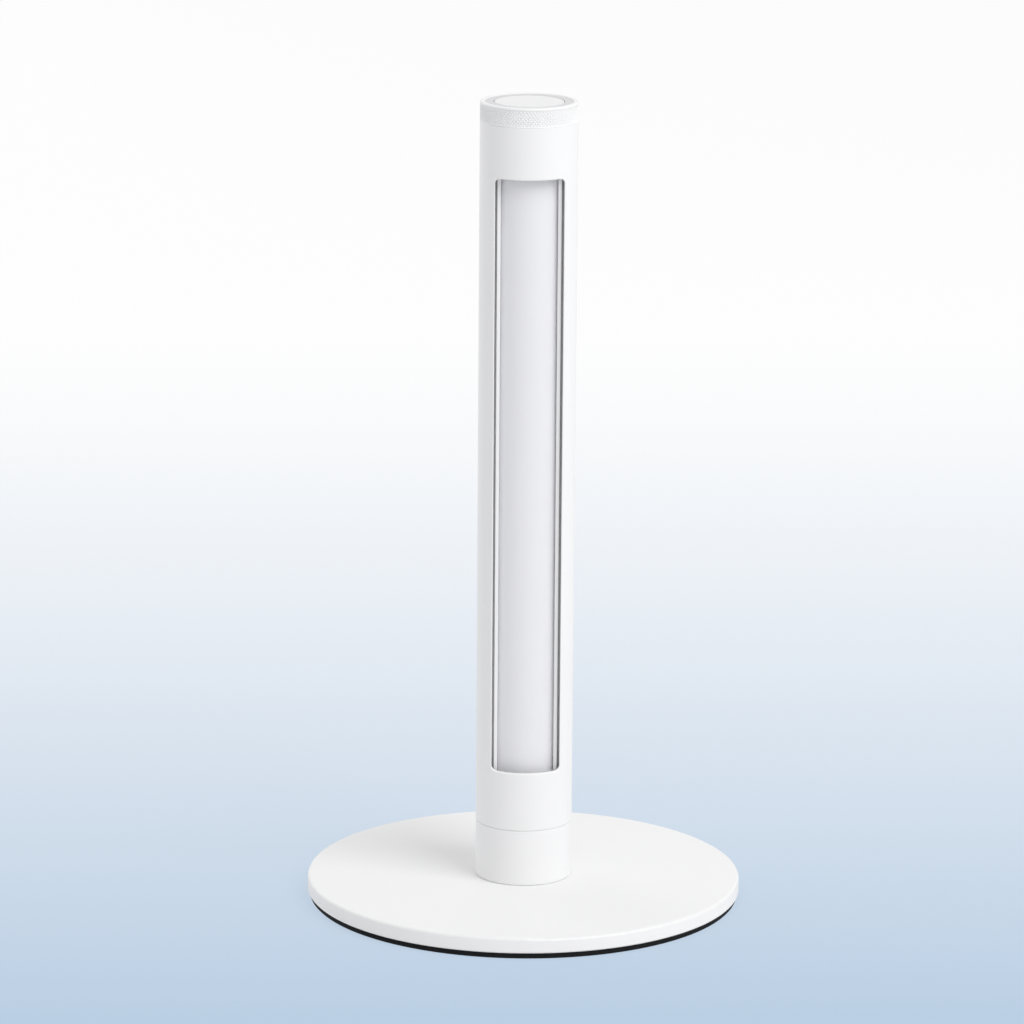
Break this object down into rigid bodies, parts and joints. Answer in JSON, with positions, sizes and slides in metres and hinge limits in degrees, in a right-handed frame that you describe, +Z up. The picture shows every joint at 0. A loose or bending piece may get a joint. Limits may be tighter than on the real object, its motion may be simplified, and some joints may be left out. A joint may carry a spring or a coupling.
{
  "type": "table lamp with a turning window sleeve",
  "caption": "Slim white column lamp on a round base: a tube with a tall window turns around a fixed light core to show or hide the light, with a push button on top.",
  "frame": {"origin": "centre of the foot pad's underside, where the lamp stands", "axes": "+Z up along the column's axis, the window faces -Y at rest and the power inlet faces +Y"},
  "size_m": [0.18, 0.18, 0.335],
  "materials": {
    "white_coat": "matte white powder coat",
    "pad_rubber": "matte black",
    "opal": "satin opal",
    "white_spine": "white coated extrusion",
    "button_plastic": "satin white",
    "trim_plastic": "matte pale grey",
    "core_plastic": "dark moulded",
    "bearing_plastic": "natural slippery plastic",
    "black_plastic": "black moulded",
    "circuit_board": "green lacquered",
    "light_strip": "white lacquered",
    "light_package": "yellow phosphor",
    "lead_jacket": "insulated wire",
    "steel": "plain steel"
  },
  "bodies": {
    "base": {"foot_pad": "pad_rubber", "base_plate": "white_coat", "base_screws": "steel", "collar": "white_coat", "core_foot": "core_plastic", "thrust_washer": "bearing_plastic", "stop_pin": "steel", "board_spacers": "bearing_plastic", "driver_board": "circuit_board", "driver_parts": "black_plastic", "inlet_shell": "steel", "inlet_tongue": "black_plastic", "spine": "white_spine", "foot_screws": "steel", "led_board": "light_strip", "led_chips": "light_package", "light_leads": "lead_jacket", "diffuser": "opal", "core_head": "core_plastic", "head_screws": "steel", "retaining_clip": "steel", "switch_leads": "lead_jacket", "switch_board": "circuit_board", "switch_board_screws": "steel", "switch_body": "black_plastic"},
    "sleeve": {"sleeve": "white_coat", "lower_bush": "bearing_plastic", "upper_bush": "bearing_plastic", "cap": "white_coat", "trim_ring": "trim_plastic", "grip_ring": "white_coat", "button_spring": "steel"},
    "button": {"button": "button_plastic"},
    "plunger": {"switch_plunger": "bearing_plastic"}
  },
  "joints": [
    {"name": "sleeve_turn", "type": "hinge", "parent": "base", "child": "sleeve", "pos_m": [0, 0, 0.0328], "axis": [0, 0, 1], "range_deg": [0, 180]},
    {"name": "button_press", "type": "slide", "parent": "sleeve", "child": "button", "axis": [0, 0, -1], "range_m": [0, 0.001], "stiffness_N_per_m": 800, "springref_m": -0.001, "deforming": ["button_spring"]},
    {"name": "plunger_press", "type": "slide", "parent": "base", "child": "plunger", "axis": [0, 0, -1], "range_m": [0, 0.001]}
  ],
  "couplings": [
    {"joint": "plunger_press", "follows": "button_press", "ratio": 1}
  ]
}
